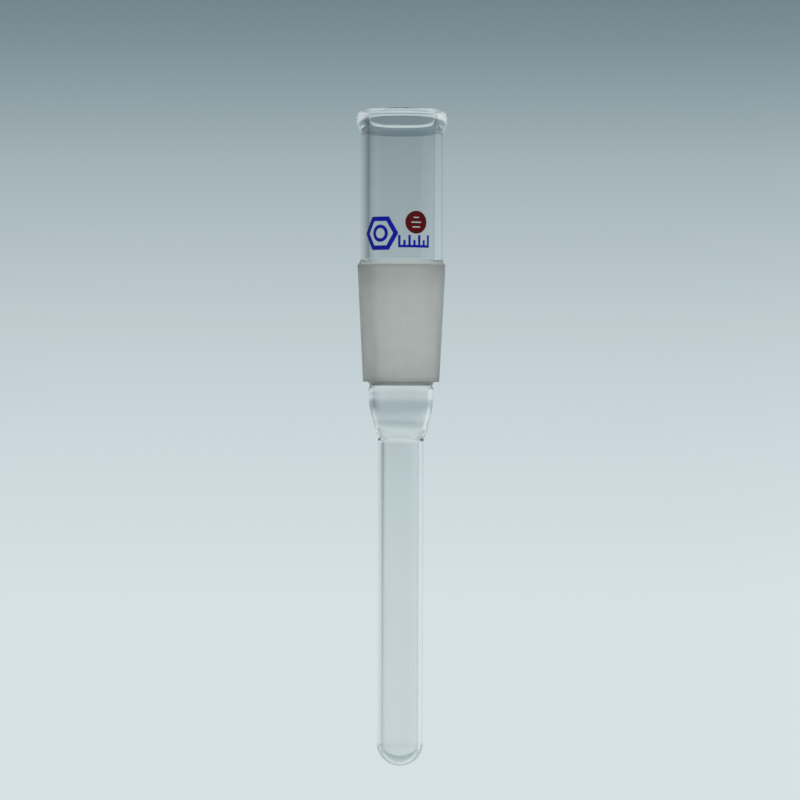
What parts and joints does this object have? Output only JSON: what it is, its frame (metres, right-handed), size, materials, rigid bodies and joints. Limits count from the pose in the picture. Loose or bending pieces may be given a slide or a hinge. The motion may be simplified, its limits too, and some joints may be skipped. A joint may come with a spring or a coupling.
{
  "type": "thermometer pocket",
  "caption": "Clear glass thermometer pocket: open mouth with a thick polished rim, ground male cone joint, drawn-in neck and a long narrow well with a closed round end.",
  "frame": {"origin": "on the axis, in the gauge plane of the ground cone, where the cone is 24 mm across", "axes": "+Z along the axis towards the open mouth; -Y towards the printed side"},
  "size_m": [0.0254, 0.0254, 0.1801],
  "materials": {
    "clear_glass": "clear borosilicate glass, fire polished",
    "ground_glass": "finely ground, matt white-grey",
    "blue_enamel": "fired enamel print, half gloss",
    "red_enamel": "fired enamel print, half gloss"
  },
  "bodies": {
    "root": {"mouth_rim": "clear_glass", "mouth_tube": "clear_glass", "cone_shoulder": "clear_glass", "ground_cone": "ground_glass", "neck": "clear_glass", "well_seal": "clear_glass", "well_tube": "clear_glass", "well_tip": "clear_glass", "print_hexagon": "blue_enamel", "print_ring": "blue_enamel", "print_scale": "blue_enamel", "print_dot": "red_enamel"}
  },
  "joints": []
}
